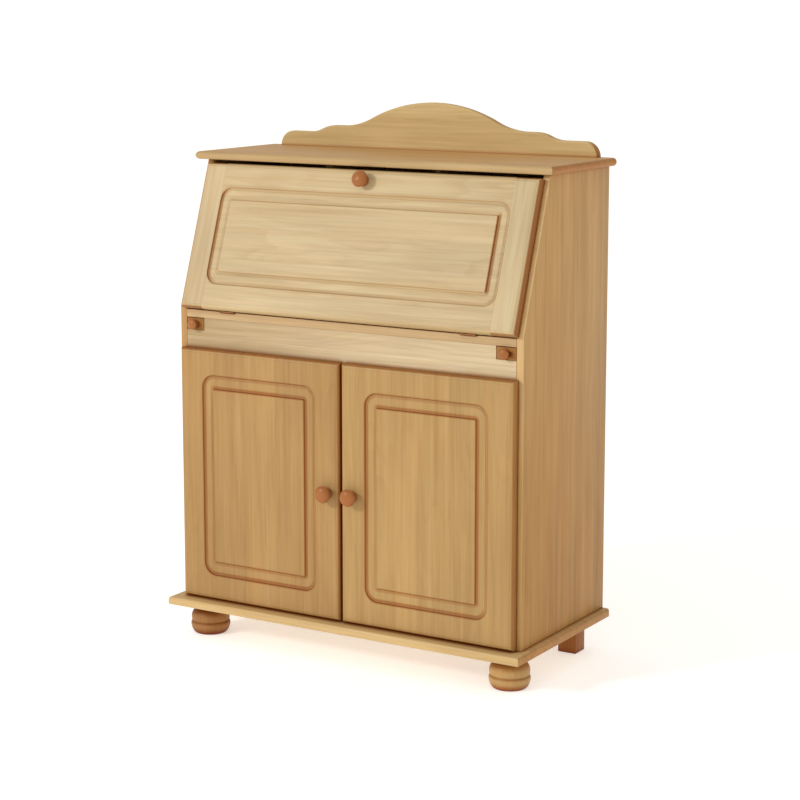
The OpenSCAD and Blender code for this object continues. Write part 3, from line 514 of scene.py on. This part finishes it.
def eased(node, name, width=1.0, min_len=6.0, segments=3):
    """A copy of a CAD board with its long sharp arrises eased."""
    src = NODES[node]
    me = src.data.copy()
    me.name = name
    o = bpy.data.objects.new(name, me)
    sc.collection.objects.link(o)
    bm = bmesh.new()
    bm.from_mesh(me)
    bmesh.ops.remove_doubles(bm, verts=bm.verts, dist=1e-6)
    bmesh.ops.dissolve_limit(bm, angle_limit=math.radians(0.6), verts=bm.verts, edges=bm.edges)
    sharp = [e for e in bm.edges if len(e.link_faces) == 2 and e.calc_face_angle(0) > math.radians(40)
             and e.calc_length() * 1000 > min_len and e.is_convex]
    if sharp:
        bmesh.ops.bevel(bm, geom=sharp, offset=width / 1000, segments=segments, profile=0.5, affect="EDGES", clamp_overlap=True)
    bm.to_mesh(me)
    bm.free()
    shade(me, 35)
    return o


def put(obj, body, slot_name, *nodes):
    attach(obj, body)
    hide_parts(*nodes)
    return obj


def cylinder(p, axis, r, h, seg=64):
    """Cutter: cylinder from p along a unit axis, in metres."""
    w = Vector(axis).normalized()
    u = w.orthogonal().normalized()
    v = w.cross(u)
    rings = [[(r * math.cos(2 * math.pi * i / seg), r * math.sin(2 * math.pi * i / seg), t) for i in range(seg)] for t in (0, h)]
    return loft("cutter", rings, "deep", lambda a, b, c: Vector(p) + u * a + v * b + w * c)


def block(place, a, b):
    """Cutter: box between two corners in the frame of place."""
    (x0, y0, z0), (x1, y1, z1) = a, b
    vs = [place(x, y, z) for x in (x0, x1) for y in (y0, y1) for z in (z0, z1)]
    fs = [(0, 1, 3, 2), (4, 6, 7, 5), (0, 4, 5, 1), (2, 3, 7, 6), (0, 2, 6, 4), (1, 5, 7, 3)]
    return new_object("cutter", vs, fs, "deep")


# ---------------------------------------------------------------- panels with a routed moulding
def panel_rings(x0, x1, z0, z1, t, r, gx, gz, dx, dz):
    """Rings of a panel with rounded front edges and a channel round a flat field, back to front."""
    out = [rect_ring(x0 + 0.8, x1 - 0.8, z0 + 0.8, z1 - 0.8, 0.6, t),
           rect_ring(x0 + 0.2, x1 - 0.2, z0 + 0.2, z1 - 0.2, 0.9, t - 0.2),
           rect_ring(x0, x1, z0, z1, 1.0, t - 0.8),
           rect_ring(x0, x1, z0, z1, 1.0, r + 0.3)]
    step = 0.5                       # little arris where the rounding meets the face
    for i in range(13):
        a = math.radians(90 * i / 12)
        q = (r - 0.3) * (1 - math.cos(a))
        out.append(rect_ring(x0 + q, x1 - q, z0 + q, z1 - q, 1.0 + q * 0.25, step + (r - step) * (1 - math.sin(a))))
    q = r + 0.15
    out.append(rect_ring(x0 + q, x1 - q, z0 + q, z1 - q, 3.0, 0.12))
    q = r + 0.5
    out.append(rect_ring(x0 + q, x1 - q, z0 + q, z1 - q, 3.0, 0.0))
    q = r + 1.5
    out.append(rect_ring(x0 + q, x1 - q, z0 + q, z1 - q, 3.0, 0.0))
    ox0, ox1, oz0, oz1 = x0 + gx, x1 - gx, z0 + gz, z1 - gz
    outer = [(-5.0, 0.0), (-4.3, 0.0), (-4.1, 0.15), (-3.9, 0.6), (-3.4, 1.4), (-2.6, 2.15), (-1.5, 2.75), (-0.2, 3.05),
             (1.0, 2.9), (2.0, 2.5), (2.9, 2.1), (3.6, 1.93), (4.6, 1.9)]
    for o, d in outer:
        out.append(rect_ring(ox0 + o, ox1 - o, oz0 + o, oz1 - o, 25 - o, d))
    ix0, ix1, iz0, iz1 = ox0 + dx, ox1 - dx, oz0 + dz, oz1 - dz
    inner = [(-4.2, 1.9), (-3.2, 1.95), (-2.2, 2.2), (-1.2, 2.6), (0.0, 2.75), (1.0, 2.6), (2.0, 2.1), (2.9, 1.3), (3.4, 0.6),
             (3.6, 0.15), (3.8, 0.0), (4.6, 0.0)]
    for o, d in inner:
        out.append(rect_ring(ix0 + o, ix1 - o, iz0 + o, iz1 - o, max(6 - o, 1.5), d))
    return out


DOOR_IN, DOOR_OUT, DOOR_LOW, DOOR_HIGH = 2.5, 405.0, 90.0, 635.0
for side, s in (("left", -1), ("right", 1)):
    name = "door_" + side
    place = lambda x, y, z, s=s: desk(s * x, y - 19, z)
    rings = panel_rings(DOOR_IN, DOOR_OUT, DOOR_LOW, DOOR_HIGH, 17, 8, 62, 58, 20, 23)
    d = loft(name + "_board", rings, "door_" + side[0], place)
    cups = []
    for z in (170, 555):
        cups.append(cylinder(desk(s * 383, -1, z), (0, -1, 0), 0.0176, 0.013))
        for dz in (-24, 24):
            cups.append(cylinder(desk(s * 383, -1, z + dz), (0, -1, 0), 0.0034, 0.004, 24))
    cut(d, *cups)
    put(d, name + "_body", "door_pine", name)

# flap: one skin, parted at the two cross-grained ends
rings = panel_rings(-404, 404, 2, FLAP_LEN, 18, 8, 58, 57, 19, 21)


def part(obj, x, keep_right):
    bm = bmesh.new()
    bm.from_mesh(obj.data)
    r = bmesh.ops.bisect_plane(bm, geom=bm.verts[:] + bm.edges[:] + bm.faces[:], plane_co=(x, 0, 0), plane_no=(1, 0, 0),
                               clear_inner=keep_right, clear_outer=not keep_right, dist=1e-7)
    edges = [e for e in r["geom_cut"] if isinstance(e, bmesh.types.BMEdge)]
    bmesh.ops.holes_fill(bm, edges=edges, sides=0)
    bmesh.ops.recalc_face_normals(bm, faces=bm.faces)
    bm.to_mesh(obj.data)
    bm.free()
    shade(obj.data)


JOINT = 0.349
for name, mat, cuts, slot_name in (("flap_panel", "flap", ((-JOINT, True), (JOINT, False)), "flap_pine"),
                                   ("flap_end_left", "flap_l", ((-JOINT, False),), "flap_pine"),
                                   ("flap_end_right", "flap_r", ((JOINT, True),), "flap_pine")):
    f = loft(name + "_board", rings, mat, lambda x, y, z: on_flap(x, y - 18, z))
    for x, keep in cuts:
        part(f, x, keep)
    if name == "flap_panel":
        cs = []
        for s in (-1, 1):
            hx = s * 292
            cs.append(block(on_flap, (hx - 18.1, -1.3, 0.5), (hx + 18.1, 1.5, 22.1)))
            cs.append(cylinder(on_flap(hx - 18.2, 0, 0), (1, 0, 0), 0.0028, 0.0364, 40))
            for dx in (-11, 11):
                n = on_flap(0, -1, 0) - on_flap(0, 0, 0)
                cs.append(cylinder(on_flap(hx + dx, 0.5, 14), n, 0.0031, 0.004, 24))
        cut(f, *cs)
    put(f, "flap", slot_name, name)

# ---------------------------------------------------------------- turned knobs and feet
def knob_line(d, l):
    """Turned knob: seat ring, waist, lens-shaped head with a finely rounded rim and a slightly domed top."""
    k = d / 36
    pts = [(0.01, 0.0), (11.0, 0.0), (11.5, 0.4), (11.6, 1.0), (11.3, 1.7), (10.2, 2.1), (9.3, 2.8), (8.5, 4.2), (8.1, 6.0), (8.3, 7.6), (9.2, 9.0)]
    pts = [(r * k, h * k) for r, h in pts[:1]] + smooth_line([(r * k, h * k) for r, h in pts[1:]], 4)
    head = []
    hc = l - 10.4 * k
    for i in range(3, 37):
        a = math.radians(-90 + 180 * i / 36)
        b = 10.4 if a > 0 else 7.4
        head.append((18 * k * math.cos(a) ** 0.94 if i < 36 else 0.01, hc + b * k * math.sin(a)))
    head = [p for p in head if p[0] > 9.2 * k or p[1] > hc]
    return pts + head


def knob(name, x, z, d, l, body, place, nodes):
    o = lathe(name + "_turned", knob_line(d, l), "knob", lambda a, b, h: place(x + a, -h, z + b))
    put(o, body, "stained_wood", *nodes)
    return o


for side, s in (("left", -1), ("right", 1)):
    knob("door_knob_" + side, s * 30.5, 361, 36, 29, "door_" + side + "_body", lambda x, y, z: desk(x, y - 19, z), ["door_knob_" + side])
knob("flap_knob", 0, 295, 35, 29, "flap", lambda x, y, z: on_flap(x, y - 18, z), ["flap_knob"])

FOOT = [(33.0, 0.0), (34.6, 0.7), (37.6, 4.0), (40.2, 9.0), (41.9, 14.0), (42.8, 19.0), (42.3, 22.6), (41.0, 25.2), (39.9, 26.3), (39.9, 27.2),
        (40.9, 29.0), (41.6, 33.0), (41.5, 38.0), (40.3, 43.0), (37.9, 47.6), (34.6, 51.3), (32.3, 53.2), (30.9, 54.6), (30.5, 56.5)]
line = [(0.01, 0.0)] + smooth_line(FOOT, 4) + [(30.5, 69.9), (0.01, 69.9)]
for side, s in (("left", -1), ("right", 1)):
    f = lathe("front_foot_" + side + "_turned", line, "foot" if s > 0 else "foot_l", lambda a, b, h, s=s: desk(s * 372 + a, 33 + b, h), 128)
    put(f, "case", "case_pine", "front_foot_" + side)

# ---------------------------------------------------------------- upstand
def crest_right(e):
    """Right half of the outline at inset e, from the middle outwards (x, height)."""
    half, low, mid, high = 395.0, 32.0, 47.5, 103.0
    R, X = 340.0, 155.0
    A = math.asin(X / R)
    fr = (high - R * (1 - math.cos(A)) - mid) / (1 - math.cos(A))
    fx = X + fr * math.sin(A)
    sa = math.radians(25)
    sr = (mid - low) / (2 * (1 - math.cos(sa)))
    out = [((R - e) * math.sin(A * i / 40), high - R + (R - e) * math.cos(A * i / 40)) for i in range(41)]
    out += [(fx - (fr + e) * math.sin(A * (1 - i / 24)), mid + fr - (fr + e) * math.cos(A * (1 - i / 24))) for i in range(1, 25)]
    out += [(248 + (sr - e) * math.sin(sa * i / 14), mid - sr + (sr - e) * math.cos(sa * i / 14)) for i in range(15)]
    out += [(248 + 2 * sr * math.sin(sa) - (sr + e) * math.sin(sa * (1 - i / 14)), low + sr - (sr + e) * math.cos(sa * (1 - i / 14))) for i in range(1, 15)]
    out += [(half - low + (low - e) * math.sin(math.pi / 2 * i / 24), (low - e) * math.cos(math.pi / 2 * i / 24)) for i in range(25)]
    return out


def crest_ring(y, e):
    r = crest_right(e)
    pts = [(-x, h) for x, h in reversed(r[1:])] + r
    return [(x, y, 1046 + max(h, 0.0)) for x, h in pts]


rings = [crest_ring(370, 0.8), crest_ring(369.7, 0.2), crest_ring(369.2, 0)] + \
    [crest_ring(354 + 4 * (1 - math.sin(math.radians(a))), 4 * (1 - math.cos(math.radians(a)))) for a in range(0, 91, 9)] + [crest_ring(354, 5)]
c = loft("crest_board", rings, "crest", desk)
put(c, "case", "case_pine", "crest")

# ---------------------------------------------------------------- boards with eased arrises
for node, width, body, slot_name in (
        ("side_panel_left", 1.0, "case", "case_pine"), ("side_panel_right", 1.0, "case", "case_pine"),
        ("base_board", 1.2, "case", "case_pine"), ("desk_board", 0.8, "case", "case_pine"),
        ("front_rail", 0.6, "case", "case_pine"), ("rear_foot_left", 1.5, "case", "case_pine"),
        ("rear_foot_right", 1.5, "case", "case_pine"), ("loper_left", 0.8, "support_left", "support_wood"),
        ("loper_right", 0.8, "support_right", "support_wood")):
    if not EASE:
        break
    put(eased(node, node + "_eased", width), body, slot_name, node)

# ---------------------------------------------------------------- floor and light
floor_me = bpy.data.meshes.new("floor")
floor_me.from_pydata([(-30, -30, 0), (30, -30, 0), (30, 30, 0), (-30, 30, 0)], [], [(0, 1, 2, 3)])
floor = bpy.data.objects.new("floor", floor_me)
sc.collection.objects.link(floor)
fm = bpy.data.materials.new("floor")
ft = Tree(fm)
fb = ft.node("ShaderNodeBsdfPrincipled")
fb.inputs["Base Color"].default_value = (0.88, 0.88, 0.88, 1)
fb.inputs["Roughness"].default_value = 0.8
fb.inputs["Emission Color"].default_value = (1, 1, 1, 1)
fb.inputs["Emission Strength"].default_value = 0.46
fo = ft.node("ShaderNodeOutputMaterial")
ft.put(fo.inputs[0], fb.outputs[0])
floor_me.materials.append(fm)

world = bpy.data.worlds.new("world")
sc.world = world
world.use_nodes = True
wt = world.node_tree
bg = wt.nodes["Background"]
bg.inputs[0].default_value = (1, 1, 1, 1)
bg.inputs[0].default_value = (1.0, 0.95, 0.88, 1)   # light on the desk
bg.inputs[1].default_value = 0.70
bg2 = wt.nodes.new("ShaderNodeBackground")           # the backdrop the camera sees
bg2.inputs[0].default_value = (1, 1, 1, 1)
bg2.inputs[1].default_value = 1.05
lp = wt.nodes.new("ShaderNodeLightPath")
mx = wt.nodes.new("ShaderNodeMixShader")
wt.links.new(lp.outputs["Is Camera Ray"], mx.inputs[0])
wt.links.new(bg.outputs[0], mx.inputs[1])
wt.links.new(bg2.outputs[0], mx.inputs[2])
wt.links.new(mx.outputs[0], wt.nodes["World Output"].inputs[0])


def area(name, loc, target, size, watts, colour=(1, 1, 1)):
    d = bpy.data.lights.new(name, "AREA")
    d.shape = "RECTANGLE"
    d.size, d.size_y = size
    d.energy = watts
    d.color = colour
    o = bpy.data.objects.new(name, d)
    sc.collection.objects.link(o)
    o.location = loc
    o.rotation_euler = (Vector(target) - Vector(loc)).to_track_quat("-Z", "Y").to_euler()
    return o


area("key", (-3.4, -5.4, 3.35), (0, 0, 0.6), (1.1, 1.0), 188)
area("fill", (3.6, -1.2, 1.6), (0, 0, 0.6), (2.0, 2.0), 7, (1.0, 0.96, 0.90))
